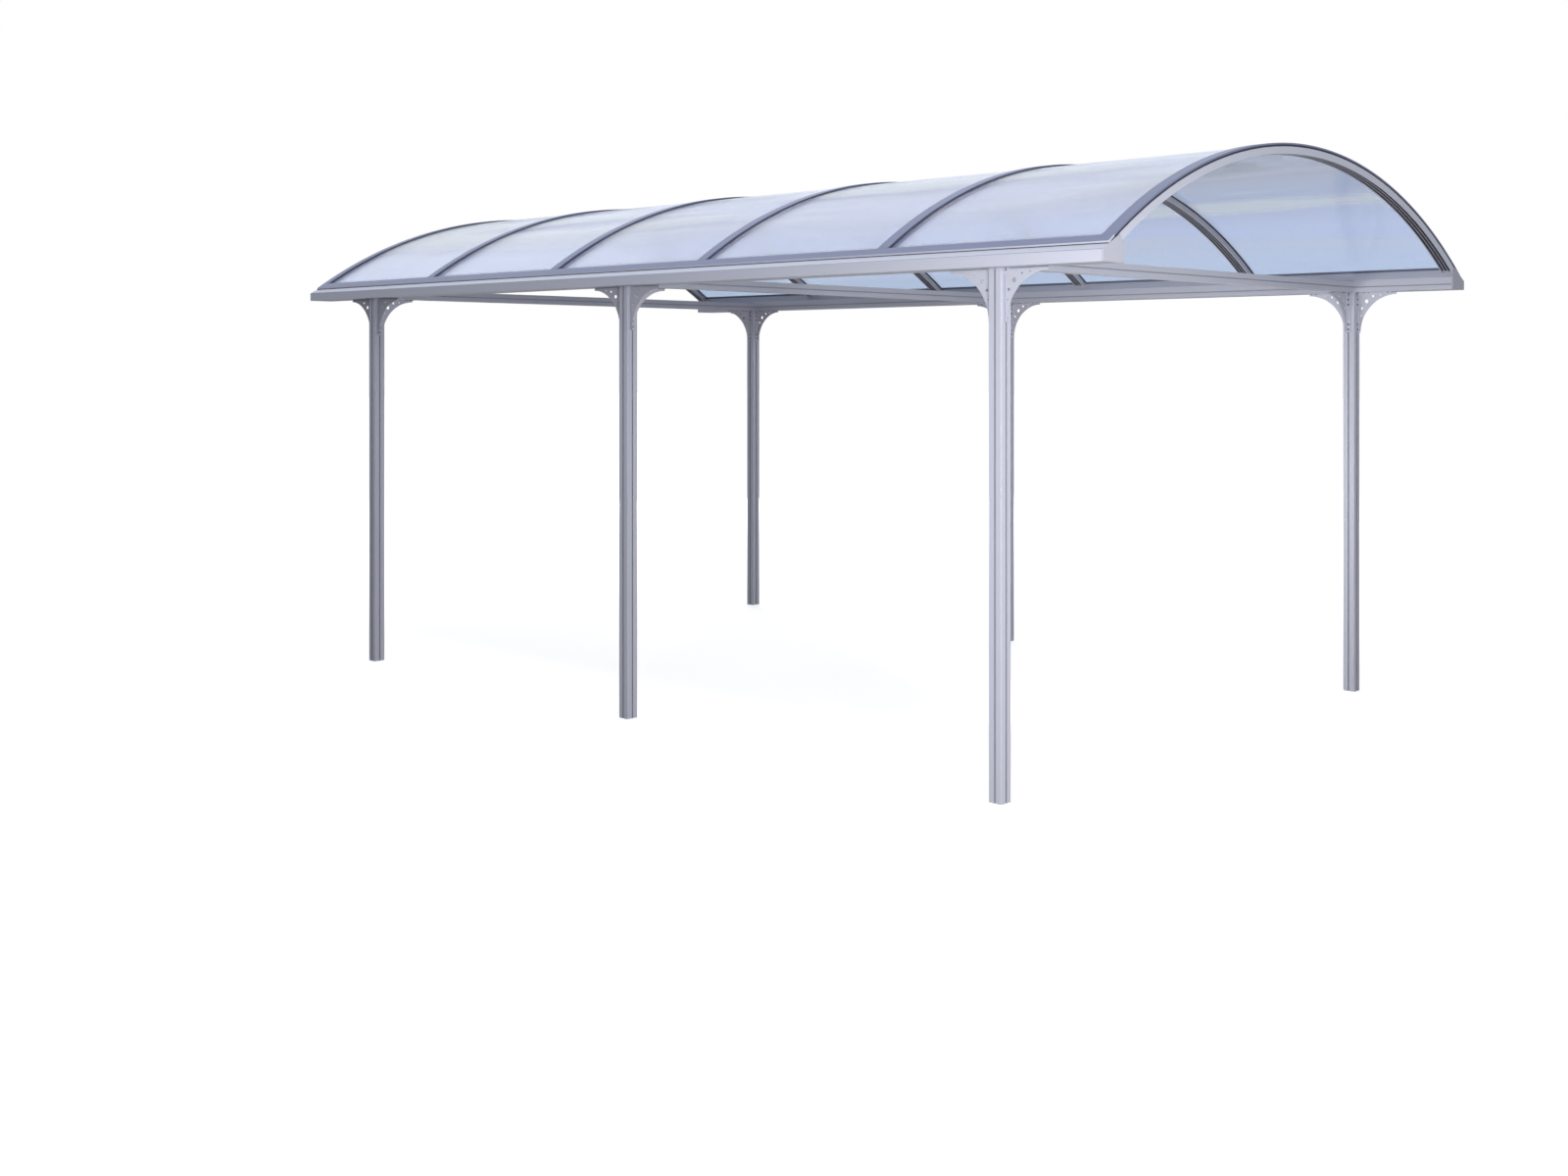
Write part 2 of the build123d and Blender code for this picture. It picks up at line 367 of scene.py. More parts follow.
extruded = {"grooveShadeSamples": 6, "grooveShadeReach": 0.012, "grooveShadeSpan": (0.45, 0.90), "grooveShadeTone": 0.42,
            "bump": 0.06}
aluminium = {**extruded, "metallic": 0.15, "dark": (0.50, 0.51, 0.60), "light": (0.56, 0.57, 0.655),
             "rough": (0.34, 0.44)}
# painted reflection: covers and the eave's up-facing lip are darkened as if they mirrored a dark sky
darkSkyReflectionFinish = {**extruded, "metallic": 0.25, "dark": (0.155, 0.17, 0.27), "light": (0.20, 0.215, 0.325),
                "rough": (0.32, 0.42)}
postMetal = drawnMetal("aluminiumPost", {**aluminium, "stretch": (900, 900, 1.2)})
eaveMetal = drawnMetal("aluminiumEave", {**aluminium, "stretch": (1.2, 900, 900)})
tieMetal = drawnMetal("aluminiumTie", {**aluminium, "stretch": (900, 1.2, 900)})
ribMetal = drawnMetal("aluminiumRib", {**aluminium, "stretch": (900, 2, 2)})
coverMetal = drawnMetal("aluminiumCover", {**darkSkyReflectionFinish, "stretch": (900, 2, 2)})
lipMetal = drawnMetal("aluminiumLip", {**darkSkyReflectionFinish, "stretch": (1.2, 900, 900)})
bracketCoat = grainyCoat("bracketCoat", {
    "metallic": 0.0, "dark": (0.48, 0.49, 0.57), "light": (0.54, 0.55, 0.63),
    "scale": 1400, "rough": (0.42, 0.55), "bump": 0.15})
capPlastic = grainyCoat("capPlastic", {
    "metallic": 0.0, "dark": (0.40, 0.405, 0.47), "light": (0.44, 0.445, 0.51),
    "scale": 1100, "rough": (0.45, 0.6), "bump": 0.12})
blackRubber = grainyCoat("blackRubber", {
    "metallic": 0.0, "dark": (0.022, 0.022, 0.032), "light": (0.04, 0.04, 0.055),
    "scale": 700, "rough": (0.55, 0.75), "bump": 0.2})
greySeal = grainyCoat("greySeal", {
    "metallic": 0.0, "dark": (0.10, 0.115, 0.17), "light": (0.14, 0.155, 0.215),
    "scale": 700, "rough": (0.5, 0.65), "bump": 0.15})
screwSteel = grainyCoat("screwSteel", {
    "metallic": 0.8, "dark": (0.12, 0.125, 0.15), "light": (0.20, 0.205, 0.235),
    "scale": 2000, "rough": (0.3, 0.45), "bump": 0.1})


# fluted sheet with its own blue tint; the shift from blue towards the eaves to greyer over the crown and the
# soft pale streaks are painted sky reflection
def clearSheet(name, look):
    material, nodes, links = newMaterial(name)
    surface = nodes["Principled BSDF"]
    surface.inputs["Metallic"].default_value = 0.0
    surface.inputs["IOR"].default_value = look["ior"]
    surface.inputs["Transmission Weight"].default_value = look["transmission"]
    place = nodes.new("ShaderNodeTexCoord").outputs["Object"]
    parts = nodes.new("ShaderNodeSeparateXYZ")
    links.new(place, parts.inputs[0])
    across = nodes.new("ShaderNodeMath")
    across.operation = "ABSOLUTE"
    links.new(parts.outputs["Y"], across.inputs[0])
    share = newMath(nodes, links, "DIVIDE", across.outputs[0], roof["halfWidth"])
    sheetTintAndSky = newRamp(nodes, links, share, look["tints"], "EASE")
    drawn = nodes.new("ShaderNodeMapping")
    drawn.inputs["Location"].default_value = look["streakShift"]
    drawn.inputs["Scale"].default_value = look["streakScale"]
    drawn.inputs["Rotation"].default_value = (0, 0, look["streakTurn"])
    links.new(place, drawn.inputs["Vector"])
    # the pale streaks are painted sky reflection, kept to a band across the roof
    paintedSkyStreaks = newNoise(nodes, links, drawn.outputs["Vector"], 1.0)
    paintedSkyStreaks.inputs["Roughness"].default_value = noise["streakRough"]
    sharp = newRange(nodes, links, paintedSkyStreaks.outputs["Fac"], (0.0, 1.0), look["streak"], "SMOOTHSTEP")
    band = newRamp(nodes, links, share, [(where, (level,) * 3) for where, level in look["band"]])
    skyStreakShare = newMath(nodes, links, "MULTIPLY", sharp, band)
    tone = newMix(nodes, links, skyStreakShare, sheetTintAndSky, look["pale"])
    wave = nodes.new("ShaderNodeTexWave")
    wave.wave_type = "BANDS"
    wave.bands_direction = "X"
    wave.inputs["Scale"].default_value = look["flutes"]
    wave.inputs["Distortion"].default_value = 0.0
    links.new(place, wave.inputs["Vector"])
    flutes = wave.outputs["Fac"]
    lined = nodes.new("ShaderNodeVectorMath")
    lined.operation = "SCALE"
    links.new(tone, lined.inputs[0])
    links.new(newRange(nodes, links, flutes, (look["fluteTone"], 1.0)), lined.inputs["Scale"])
    links.new(lined.outputs[0], surface.inputs["Base Color"])
    # the sheet is more opaque where the painted sky streaks are
    links.new(newRange(nodes, links, skyStreakShare, look["alpha"]), surface.inputs["Alpha"])
    links.new(newRange(nodes, links, flutes, look["rough"]), surface.inputs["Roughness"])
    addBump(nodes, links, surface, flutes, look["bump"], bumpDepth["flutes"])
    return material


# tints and pale streak colours of both faces: painted sky reflection over the sheet's own blue tint
sheetLook = {"ior": 1.45, "streakShift": (7.3, 4.2, 2.9), "streakScale": (0.50, 3.2, 3.2), "streakTurn": 0.18,
             "streak": (0.43, 0.56), "flutes": 29.0, "fluteTone": 0.88, "bump": 0.12,
             "band": [(0.08, 0.25), (0.30, 1.0), (0.66, 1.0), (0.84, 0.1)]}
innerLook = {**sheetLook, "transmission": 0.98, "pale": (0.58, 0.74, 1.0),
             "tints": [(0.12, (0.26, 0.30, 0.36)), (0.45, (0.27, 0.38, 0.66)), (0.72, (0.40, 0.56, 1.0)),
                       (0.95, (0.43, 0.64, 1.0))],
             "alpha": (0.95, 0.95), "rough": (0.03, 0.07)}
outerLook = {**sheetLook, "transmission": 0.60, "pale": (1.0, 1.0, 1.0),
             "tints": [(0.12, (0.66, 0.68, 1.0)), (0.45, (0.64, 0.64, 1.0)), (0.70, (0.70, 0.69, 1.0)),
                       (0.95, (0.62, 0.66, 1.0))],
             "alpha": (0.48, 0.76), "rough": (0.04, 0.09)}
roofSheetInside = clearSheet("polycarbonateInside", innerLook)
roofSheetOutside = clearSheet("polycarbonateOutside", outerLook)
print("materials made")


def dress(obj, material, slot=None):
    obj.data.materials.clear()
    obj.data.materials.append(material)
    if "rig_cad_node" not in obj:
        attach(obj, "root")


# roof sheets, spun over the arches
sheet = {"width": 0.9784, "outward": 0.9}
sheetMiddle = archPlaces[0] - archPitch / 2
halfSheet = sheet["width"] / 2
outline = stripOutline(sheetMiddle - halfSheet, sheetMiddle + halfSheet, sheetInner, sheetOuter)
firstSheet = spinProfile("roofSheet_1", outline, roof["sheetReach"] / sheetOuter, roof["steps"])
smoothShade(firstSheet)
for number, piece in enumerate(alongRoof(firstSheet, "roofSheet", roof["bays"])):
    dress(piece, roofSheetInside, "roof_sheet")
    giveSecond(piece, roofSheetOutside,
               lambda c, n: n.dot(Vector((0, c.y, c.z - roofCentre)).normalized()) > sheet["outward"])
    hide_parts(f"roof_panel_{number + 1}")
print("roof sheets spun")

# cover strips that clamp the sheets
cover = {"soft": 0.0012}
halfRib = roof["ribWidth"] / 2
coverReach = roof["coverReach"] / roofRadius
outline = stripOutline(archPlaces[0] - halfRib, archPlaces[0] + halfRib, coverInner, roofRadius)
firstCover = spinProfile("coverStrip_1", outline, coverReach, roof["steps"])
softenEdges(firstCover, cover["soft"])
smoothShade(firstCover, flatAngle)
for number, piece in enumerate(alongRoof(firstCover, "coverStrip", roof["bays"] + 1)):
    dress(piece, coverMetal, "frame_aluminium")
    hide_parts(f"arch_cover_{number + 1}")
print("cover strips spun")

# arch ribs with a wide channel and two fins below, cut to stand on the eave's inner slope
rib = {"channelWidth": 0.042, "channelDepth": 0.006, "finPlace": 0.0075, "finWide": 0.0022, "finDrop": 0.0012,
       "shadeFillDepth": 0.0035, "spare": 0.02, "soft": 0.0006}
halfChannel = rib["channelWidth"] / 2


def ribStep(offset, lift):  # corner of the rib's section, measured from its middle and its lower edge
    return (archPlaces[0] + offset, ribInner + lift)


ribOutline = [ribStep(-halfRib, 0), ribStep(-halfChannel, 0), ribStep(-halfChannel, rib["channelDepth"])]
for fin in (-rib["finPlace"], rib["finPlace"]):
    left, right = fin - rib["finWide"] / 2, fin + rib["finWide"] / 2
    ribOutline += [ribStep(left, rib["channelDepth"]), ribStep(left, rib["finDrop"]),
                   ribStep(right, rib["finDrop"]), ribStep(right, rib["channelDepth"])]
ribOutline += [ribStep(halfChannel, rib["channelDepth"]), ribStep(halfChannel, 0), ribStep(halfRib, 0),
               (archPlaces[0] + halfRib, ribOuter), (archPlaces[0] - halfRib, ribOuter)]
firstRib = spinProfile("archRib_1", ribOutline, (ridgeLine + rib["spare"]) / ribOuter, roof["steps"])
for side in sides.values():
    bpy.ops.object.mode_set(mode="EDIT")
    bpy.ops.mesh.select_all(action="SELECT")
    slopeOut = (0, side * (ridgeHeight - innerTop), -(ridgeLine - innerLine))
    bpy.ops.mesh.bisect(plane_co=(0, side * ridgeLine, ridgeHeight), plane_no=slopeOut, use_fill=True,
                        clear_outer=True)
makeSolid(firstRib)
softenEdges(firstRib, rib["soft"], 1)
smoothShade(firstRib, flatAngle)
for number, piece in enumerate(alongRoof(firstRib, "archRib", roof["bays"] + 1)):
    dress(piece, ribMetal, "frame_aluminium")
    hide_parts(f"arch_{number + 1}")
print("arch ribs spun")

# rubber lips along the covers and ribs, and in the open slots at both ends; black strips at the bottom of the
# rib's channels are painted shade
lips = {"wide": 0.004, "tall": 0.0022, "innerWide": 0.006, "under": 0.001, "slotIn": 0.002, "slotDeep": 0.010,
        "slotFit": 0.0002, "endGap": 0.004, "steps": 60}
finNear, finFar = rib["finPlace"] - rib["finWide"] / 2, rib["finPlace"] + rib["finWide"] / 2
shadeFills = [(-halfChannel, -finFar), (-finNear, finNear), (finFar, halfChannel)]  # between the fins, where black strips paint the channels' shade


# rubber strip between two offsets from the arch's middle
def spinRubber(name, place, first, second, inner, outer, reach):
    low, high = sorted((place + first, place + second))
    return spinProfile(name, stripOutline(low, high, inner, outer), reach, lips["steps"])


for number, place in enumerate(archPlaces):
    parts = []
    for toward in (-1, 1):
        if number == 0 and toward > 0 or number == roof["bays"] and toward < 0:
            parts.append(spinRubber("slotRubber", place, toward * (halfRib - lips["slotIn"]),
                                    toward * (halfRib - lips["slotDeep"]), ribOuter + lips["slotFit"],
                                    coverInner - lips["slotFit"], coverReach))
            continue
        parts.append(spinRubber("outerLip", place, toward * (halfRib - lips["under"]),
                                toward * (halfRib + lips["wide"]), sheetOuter,
                                sheetOuter + lips["tall"], coverReach))
        parts.append(spinRubber("innerLip", place, toward * (halfRib - lips["under"]),
                                toward * (halfRib + lips["innerWide"]), sheetInner - lips["tall"], sheetInner,
                                (ridgeLine - lips["endGap"]) / ribOuter))
    # painted shade: black strips at the bottom of the rib's channels
    for left, right in shadeFills:
        parts.append(spinRubber("channelShadeFill", place, left, right, ribInner + rib["shadeFillDepth"],
                                ribInner + rib["channelDepth"], (innerLine - lips["endGap"]) / ribInner))
    piece = joinAll(parts, f"archRubberAndShade_{number + 1}")
    smoothShade(piece)
    dress(piece, blackRubber)
print("rubber lips spun")

# eave beams, drawn as a section and pulled out along the roof
eave = {"length": 5.022, "face": 0.040, "facetRun": 0.038, "lipRun": 0.073, "slotRun": 0.056,
        "grooveShare": 0.42, "grooveWidth": 0.005, "grooveDepth": 0.003, "soft": 0.0008, "gapLine": 0.0026,
        "capThick": 0.004, "capSoft": 0.001, "gapIn": 0.001, "gapOut": 0.0005,
        "lipSteps": 4, "lipFacing": 0.5, "lipSpare": 0.001, "lipSkin": 0.002,
        "sealWide": 0.006, "sealTall": 0.011, "sealFit": 0.0003, "sealBack": 0.0005, "sealFoot": 0.002,
        "lineReach": (0.0012, 0.0036), "lineProud": 0.0003}
eaveStart = -eave["length"] / 2
groove = eave["grooveShare"] * (innerTop - roof["postHeight"])


def sectionPoint(side, x, run, height):
    return (x, side * (roof["halfWidth"] - run), roof["postHeight"] + height)


def roofPoint(side, x, run, radius):
    across = roof["halfWidth"] - run
    return (x, side * across, roofHeight(radius, across))


def makeEave(sideName, side):
    x = eaveStart
    deep = roof["eaveWidth"] - eave["grooveDepth"]
    halfGroove = eave["grooveWidth"] / 2
    steps = eave["lipSteps"]
    lipStep = (eave["lipRun"] - eave["facetRun"]) / steps
    outline = [
        roofPoint(side, x, roof["ridgeRun"], ribOuter),
        sectionPoint(side, x, roof["eaveWidth"], innerTop - roof["postHeight"]),
        sectionPoint(side, x, roof["eaveWidth"], groove + halfGroove),
        sectionPoint(side, x, deep, groove + halfGroove),
        sectionPoint(side, x, deep, groove - halfGroove),
        sectionPoint(side, x, roof["eaveWidth"], groove - halfGroove),
        sectionPoint(side, x, roof["eaveWidth"], 0),
        sectionPoint(side, x, 0, 0),
        sectionPoint(side, x, 0, eave["face"]),
        roofPoint(side, x, eave["facetRun"], coverInner),
    ]
    outline += [roofPoint(side, x, eave["facetRun"] + n * lipStep, roofRadius) for n in range(steps + 1)]
    outline += [roofPoint(side, x, eave["lipRun"] - n * lipStep, coverInner) for n in range(steps // 2 + 1)]
    outline += [roofPoint(side, x, eave["slotRun"], coverInner),
                roofPoint(side, x, eave["slotRun"], ribOuter),
                roofPoint(side, x, (eave["slotRun"] + roof["ridgeRun"]) / 2, ribOuter)]
    beam = drawLoop(f"eaveBeam_{sideName}", outline)
    pullOut(beam, eave["length"])
    softenEdges(beam, eave["soft"])
    smoothShade(beam, flatAngle)
    dress(beam, eaveMetal, "frame_aluminium")
    inward = roof["halfWidth"] - eave["lipRun"] - eave["lipSpare"]
    outward = roof["halfWidth"] - eave["facetRun"] - eave["lipSpare"]
    # painted reflection: the lip's up-facing faces get the darker finish
    giveSecond(beam, lipMetal,
               lambda c, n: n.z > eave["lipFacing"] and inward < abs(c.y) < outward
               and c.z > roofHeight(roofRadius - eave["lipSkin"], abs(c.y)))
    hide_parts(f"eave_beam_{sideName}")


def makeFacetShadeLine(sideName, side):  # painted shade: a dark strip at the foot of the facet
    foot = Vector(sectionPoint(side, eaveStart, 0, eave["face"]))
    slant = (Vector(roofPoint(side, eaveStart, eave["facetRun"], coverInner)) - foot).normalized()
    proud = Vector((0, side * slant.z, abs(slant.y))) * eave["lineProud"]
    near, far = (foot + slant * reach for reach in eave["lineReach"])
    line = drawLoop(f"facetShadeLine_{sideName}", [tuple(near - proud), tuple(far - proud), tuple(far + proud),
                                             tuple(near + proud)])
    pullOut(line, eave["length"])
    smoothShade(line)
    dress(line, lipMetal)


def makeLipShadeLine(sideName, side):  # painted shade: a black strip in the gap under the lip
    across = roof["halfWidth"] - eave["facetRun"]
    inner, outer = side * (across - eave["gapIn"]), side * (across + eave["gapOut"])
    low = roofHeight(coverInner, across)
    top = low + eave["gapLine"]
    line = drawLoop(f"lipGapShade_{sideName}", [(eaveStart, inner, low), (eaveStart, outer, low),
                                            (eaveStart, outer, top), (eaveStart, inner, top)])
    pullOut(line, eave["length"])
    smoothShade(line)
    dress(line, blackRubber)


def makeSeals(sideName, side):  # seals against the sheets between the ribs
    back, front = ridgeLine - eave["sealBack"], ridgeLine - eave["sealWide"]
    slope = (ridgeHeight - innerTop) / (ridgeLine - innerLine)
    top = roofHeight(sheetInner, front) - eave["sealFit"]
    foot = top - eave["sealTall"]
    outline = [(back, roofHeight(sheetInner, back) - eave["sealFit"]), (front, top), (front, foot),
               (front + eave["sealFoot"], foot), (back, ridgeHeight - slope * eave["sealBack"])]
    parts = []
    for place in archPlaces[1:]:
        seal = drawLoop("sheetSeal", [(place + halfRib, side * across, height) for across, height in outline])
        pullOut(seal, archPitch - roof["ribWidth"])
        parts.append(seal)
    seals = joinAll(parts, f"eaveSeal_{sideName}")
    smoothShade(seals)
    dress(seals, greySeal)


def makeCap(sideName, side, endName, end):  # plate on the beam's end with soft edges
    x = end * eave["length"] / 2
    cap = drawLoop(f"endCap_{sideName}_{endName}", [
        sectionPoint(side, x, 0, 0), sectionPoint(side, x, 0, eave["face"]),
        (x, side * ridgeLine, ridgeHeight), (x, side * innerLine, innerTop),
        sectionPoint(side, x, roof["eaveWidth"], 0)])
    pullOut(cap, end * eave["capThick"])
    softenEdges(cap, eave["capSoft"])
    smoothShade(cap, flatAngle)
    dress(cap, capPlastic, "cap_plastic")
    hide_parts(f"end_cap_{sideName}_{endName}")


for sideName, side in sides.items():
    makeEave(sideName, side)
    makeLipShadeLine(sideName, side)
    makeSeals(sideName, side)
    makeFacetShadeLine(sideName, side)
    for endName, end in {"front": 1, "back": -1}.items():
        makeCap(sideName, side, endName, end)
print("eave beams, rubber and caps drawn")

# brackets: sheet drawn flat with its holes, folded along both legs, then given its thickness
bracket = {"leg": 0.188, "tip": 0.012, "curve": 0.178, "half": 0.012, "sheet": 0.0025, "bend": 0.006,
           "flangeStart": 0.020, "notch": 0.010, "curvePoints": 192, "trim": 0.0005, "foldShare": 0.293,
           "holes": [(0.043, 0.043, 0.009, 28), (0.075, 0.020, 0.0055, 22), (0.020, 0.075, 0.0055, 22),
                     (0.110, 0.015, 0.003, 16), (0.015, 0.110, 0.003, 16)]}
post = {"spacing": 2.02, "line": 1.347, "half": 0.028}
screw = {"radius": 0.0042, "tall": 0.0026, "drive": 0.0020, "deep": 0.0014, "soft": 0.0008, "points": 18,
         "upward": 0.99, "places": (0.034, 0.058, 0.150, 0.174)}


def makeBracket():
    freshStart()
    leg, tip, bend, start, notch = (bracket[k] for k in ("leg", "tip", "bend", "flangeStart", "notch"))
    face, trim = bracket["half"], bracket["trim"]
    centre = tip + bracket["curve"]
    bpy.ops.mesh.primitive_circle_add(vertices=bracket["curvePoints"], radius=bracket["curve"],
                                      location=(centre, face, -centre), rotation=(pi / 2, 0, 0))
    obj = bpy.context.object
    obj.name = "bracketMaster"
    bpy.ops.object.transform_apply(location=True, rotation=True)
    pick(obj, "VERT", lambda c: c.x > leg - trim or c.z < -leg + trim)
    bpy.ops.mesh.delete(type="VERT")
    points = bmesh.from_edit_mesh(obj.data).verts
    ends = [p.co.copy() for p in points if len(p.link_edges) == 1]
    upper = max(ends, key=lambda c: c.z)
    lower = min(ends, key=lambda c: c.z)
    pick(obj, "VERT", lambda c: (c - upper).length < mergeGap)
    edgeLine = [(leg, -tip), (leg, -bend), (start, -bend), (start, 0), (notch, 0), (notch, -notch),
                (0, -notch), (0, -start), (bend, -start), (bend, -leg), (tip, -leg)]
    drawOn([tuple(upper)] + [(x, face, z) for x, z in edgeLine] + [tuple(lower)])
    for across, down, radius, count in bracket["holes"]:
        bpy.ops.mesh.primitive_circle_add(vertices=count, radius=radius, location=(across, face, -down),
                                          rotation=(pi / 2, 0, 0))
    bpy.ops.mesh.select_all(action="SELECT")
    bpy.ops.mesh.remove_doubles(threshold=mergeGap)
    bpy.ops.mesh.fill(use_beauty=True)
    small = bend * bracket["foldShare"]  # fold drawn in three short steps
    pick(obj, "EDGE", lambda c: abs(c.z + bend) < pickGap and c.x > start - pickGap)
    for step in ((0, -small, bend - small), (0, small - bend, small), (0, bend - 2 * face, 0)):
        bpy.ops.mesh.extrude_edges_move(TRANSFORM_OT_translate={"value": step})
    pick(obj, "EDGE", lambda c: abs(c.x - bend) < pickGap and c.z < -start + pickGap)
    for step in ((small - bend, -small, 0), (-small, small - bend, 0), (0, bend - 2 * face, 0)):
        bpy.ops.mesh.extrude_edges_move(TRANSFORM_OT_translate={"value": step})
    bpy.ops.mesh.select_all(action="SELECT")
    bpy.ops.mesh.normals_make_consistent(inside=False)
    flat = [f for f in bmesh.from_edit_mesh(obj.data).faces if f.calc_center_median().y > face - pickGap]
    if max(flat, key=lambda f: f.calc_area()).normal.y < 0:
        bpy.ops.mesh.flip_normals()
    bpy.ops.object.mode_set(mode="OBJECT")
    thick = obj.modifiers.new("sheet", "SOLIDIFY")
    thick.thickness = bracket["sheet"]
    thick.offset = -1
    thick.use_even_offset = True
    bpy.ops.object.modifier_apply(modifier=thick.name)
    makeSolid(obj)
    smoothShade(obj, holeAngle)
    return obj


def makeScrew():  # pan head with a round socket, axis along Z, seat at zero
    freshStart()
    bpy.ops.mesh.primitive_cylinder_add(vertices=screw["points"], radius=screw["radius"], depth=screw["tall"],
                                        location=(0, 0, screw["tall"] / 2))
    obj = bpy.context.object
    obj.name = "screwMaster"
    bpy.ops.object.transform_apply(location=True)
    pick(obj, "EDGE", lambda c: c.z > screw["tall"] - pickGap)
    bpy.ops.mesh.bevel(offset=screw["soft"], segments=2, affect="EDGES")
    pick(obj, "FACE", lambda c, n: n.z > screw["upward"])
    bpy.ops.mesh.inset(thickness=screw["radius"] - screw["soft"] - screw["drive"], depth=0)
    bpy.ops.mesh.extrude_region_move(TRANSFORM_OT_translate={"value": (0, 0, -screw["deep"])})
    makeSolid(obj)
    smoothShade(obj, holeAngle)
    return obj


bracketMaster = makeBracket()
screwMaster = makeScrew()
screws = []
for place in screw["places"]:  # on the beam's flange, then on the post's flange
    screws.append(copyAt(screwMaster, "beamScrew", (place, 0, -bracket["sheet"]), flip=(1, 1, -1)))
    screws.append(copyAt(screwMaster, "postScrew", (bracket["sheet"], 0, -place), (0, pi / 2, 0)))
screwSet = joinAll(screws, "screwSet")

for sideName, side in sides.items():
    for rowName, row in rows.items():
        x, y = row * post["spacing"], side * post["line"]
        top = roof["postHeight"]
        for base, name, slot, material in ((bracketMaster, "bracket", "bracket_steel", bracketCoat),
                                           (screwSet, "screws", None, screwSteel)):
            pair = joinAll([copyAt(base, "ahead", (x + post["half"], y, top), flip=(1, side, 1)),
                            copyAt(base, "behind", (x - post["half"], y, top), flip=(-1, side, 1))],
                           f"{name}Eave_{sideName}_{rowName}")
            dress(pair, material, slot)
            across = copyAt(base, f"{name}Tie_{sideName}_{rowName}", (x, y - side * post["half"], top),
                            (0, 0, -side * pi / 2), (1, -side, 1))
            dress(across, material, slot)
            if name == "bracket":
                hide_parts(f"eave_brackets_{sideName}_{rowName}")
                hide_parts(f"tie_bracket_{sideName}_{rowName}")
for master in (bracketMaster, screwMaster, screwSet):
    bpy.data.objects.remove(master)
print("brackets and screws placed")

# CAD pieces that stay get their finish
for name, node in frame["nodes"].items():
    if name.startswith("post_"):
        dress(node, postMetal)
    elif name.startswith("tie_beam"):
        dress(node, tieMetal)
print("finishes on the solids")

# floor, light and camera
stage = {"glow": (0.62, 1.0), "glowReach": (5.0, 11.0), "glossyGlow": 0.25, "pale": 0.80, "bounce": 0.25,
         "ambient": 0.20, "ambientTint": (0.93, 0.95, 1.0), "sky": 1.1, "skyTint": (0.82, 0.89, 1.0),
         "size": 120, "rough": 0.9, "firstBounce": 0.5}
freshStart()
bpy.ops.mesh.primitive_plane_add(size=stage["size"])
floor = bpy.context.object
floor.name = "floor"
material, nodes, links = newMaterial("paleFloor")
surface = nodes["Principled BSDF"]
surface.inputs["Roughness"].default_value = stage["rough"]
surface.inputs["Specular IOR Level"].default_value = 0.0
surface.inputs["Emission Color"].default_value = (1, 1, 1, 1)
seen = nodes.new("ShaderNodeLightPath")
place = nodes.new("ShaderNodeTexCoord")
away = nodes.new("ShaderNodeVectorMath")
away.operation = "LENGTH"
links.new(place.outputs["Object"], away.inputs[0])
fade = newRange(nodes, links, away.outputs["Value"], stage["glow"], stage["glowReach"])  # white far out
early = newMath(nodes, links, "LESS_THAN", seen.outputs["Diffuse Depth"], stage["firstBounce"])
straight = seen.outputs["Is Camera Ray"]
clearRay = newMath(nodes, links, "MAXIMUM", straight, seen.outputs["Is Transmission Ray"])
clearGlow = newMath(nodes, links, "MULTIPLY", clearRay, fade)
glossyGlow = newMath(nodes, links, "MULTIPLY", seen.outputs["Is Glossy Ray"], stage["glossyGlow"])
anyGlow = newMath(nodes, links, "MAXIMUM", clearGlow, glossyGlow)
links.new(newMath(nodes, links, "MULTIPLY", anyGlow, early), surface.inputs["Emission Strength"])
pale = newMix(nodes, links, straight, (stage["bounce"],) * 3, (stage["pale"],) * 3)
links.new(pale, surface.inputs["Base Color"])
floor.data.materials.append(material)

world = bpy.data.worlds.new("studio")
scene.world = world
world.use_nodes = True
nodes, links = world.node_tree.nodes, world.node_tree.links
glow = nodes["Background"]
glow.inputs["Color"].default_value = (*stage["ambientTint"], 1)
glow.inputs["Strength"].default_value = stage["ambient"]
sky = nodes.new("ShaderNodeBackground")  # what metal and sheets mirror
sky.inputs["Color"].default_value = (*stage["skyTint"], 1)
sky.inputs["Strength"].default_value = stage["sky"]
white = nodes.new("ShaderNodeBackground")
white.inputs["Color"].default_value = (1, 1, 1, 1)
seen = nodes.new("ShaderNodeLightPath")
early = newMath(nodes, links, "LESS_THAN", seen.outputs["Diffuse Depth"], stage["firstBounce"])
mirrored = newMath(nodes, links, "MULTIPLY", seen.outputs["Is Glossy Ray"], early)
passed = newMath(nodes, links, "MULTIPLY", seen.outputs["Is Transmission Ray"], early)
clearRay = newMath(nodes, links, "MAXIMUM", seen.outputs["Is Camera Ray"], passed)
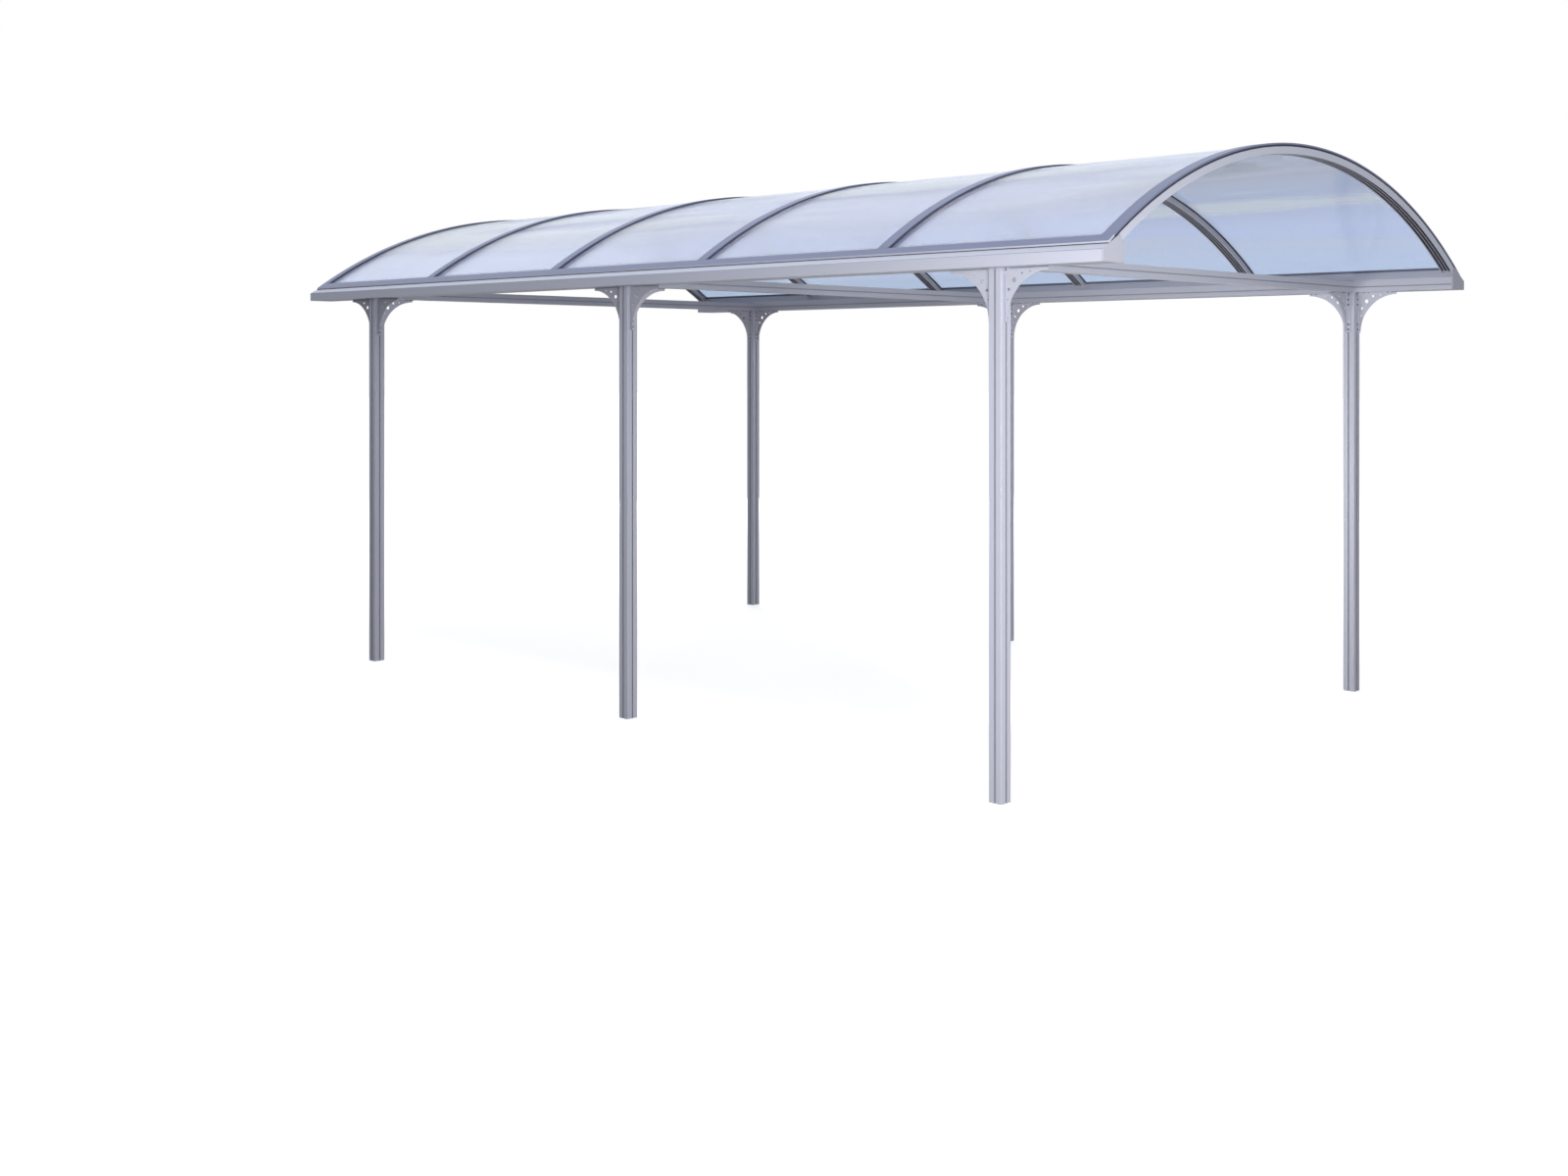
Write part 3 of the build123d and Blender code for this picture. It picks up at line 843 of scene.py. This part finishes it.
around = nodes.new("ShaderNodeMixShader")
links.new(mirrored, around.inputs[0])
links.new(glow.outputs[0], around.inputs[1])
links.new(sky.outputs[0], around.inputs[2])
either = nodes.new("ShaderNodeMixShader")
links.new(clearRay, either.inputs[0])
links.new(around.outputs[0], either.inputs[1])
links.new(white.outputs[0], either.inputs[2])
links.new(either.outputs[0], nodes["World Output"].inputs["Surface"])


def softLamp(name, place, target, size, power, colour=(1, 1, 1)):
    freshStart()
    bpy.ops.object.light_add(type="AREA", location=place)
    lamp = bpy.context.object
    lamp.name = name
    lamp.data.size = size
    lamp.data.energy = power
    lamp.data.color = colour
    lamp.visible_camera = False
    lamp.visible_glossy = False
    lamp.visible_transmission = False
    lamp.rotation_euler = (Vector(target) - Vector(place)).to_track_quat("-Z", "Y").to_euler()


softLamp("keyLamp", (4.1, -3.5, 1.3), target=(2.0, -1.0, 1.5), size=1.8, power=130)
softLamp("farLamp", (1.0, -0.6, 0.9), target=(2.0, 1.35, 1.6), size=1.0, power=22)
softLamp("endLamp", (8.0, 0.0, 1.7), target=(1.5, 0.0, 1.7), size=2.5, power=65)
softLamp("backLamp", (-8.0, 6.5, 3.0), target=(0, 0, 1.4), size=5.0, power=620)
softLamp("sideLamp", (-1.0, 9.0, 2.0), target=(0, 0, 1.4), size=4.0, power=320)
softLamp("topLamp", (0, -1.6, 7.3), target=(0, 0, 2.2), size=4.0, power=300, colour=(0.92, 0.94, 1.0))

view = {"sensor": 36.0, "lens": 37.8051, "shiftX": -0.03817, "shiftY": -0.14355, "farthest": 200.0,
        "place": (5.5403, -5.9285, 1.5348), "turn": 42.9492}
bpy.ops.object.camera_add(location=view["place"], rotation=(pi / 2, 0, radians(view["turn"])))
camera = bpy.context.object
camera.name = "photoCamera"
camera.data.sensor_width = view["sensor"]
camera.data.lens = view["lens"]
camera.data.shift_x = view["shiftX"]
camera.data.shift_y = view["shiftY"]
camera.data.clip_end = view["farthest"]
scene.camera = camera
scene.view_settings.view_transform = "Standard"
print("stage and camera set")
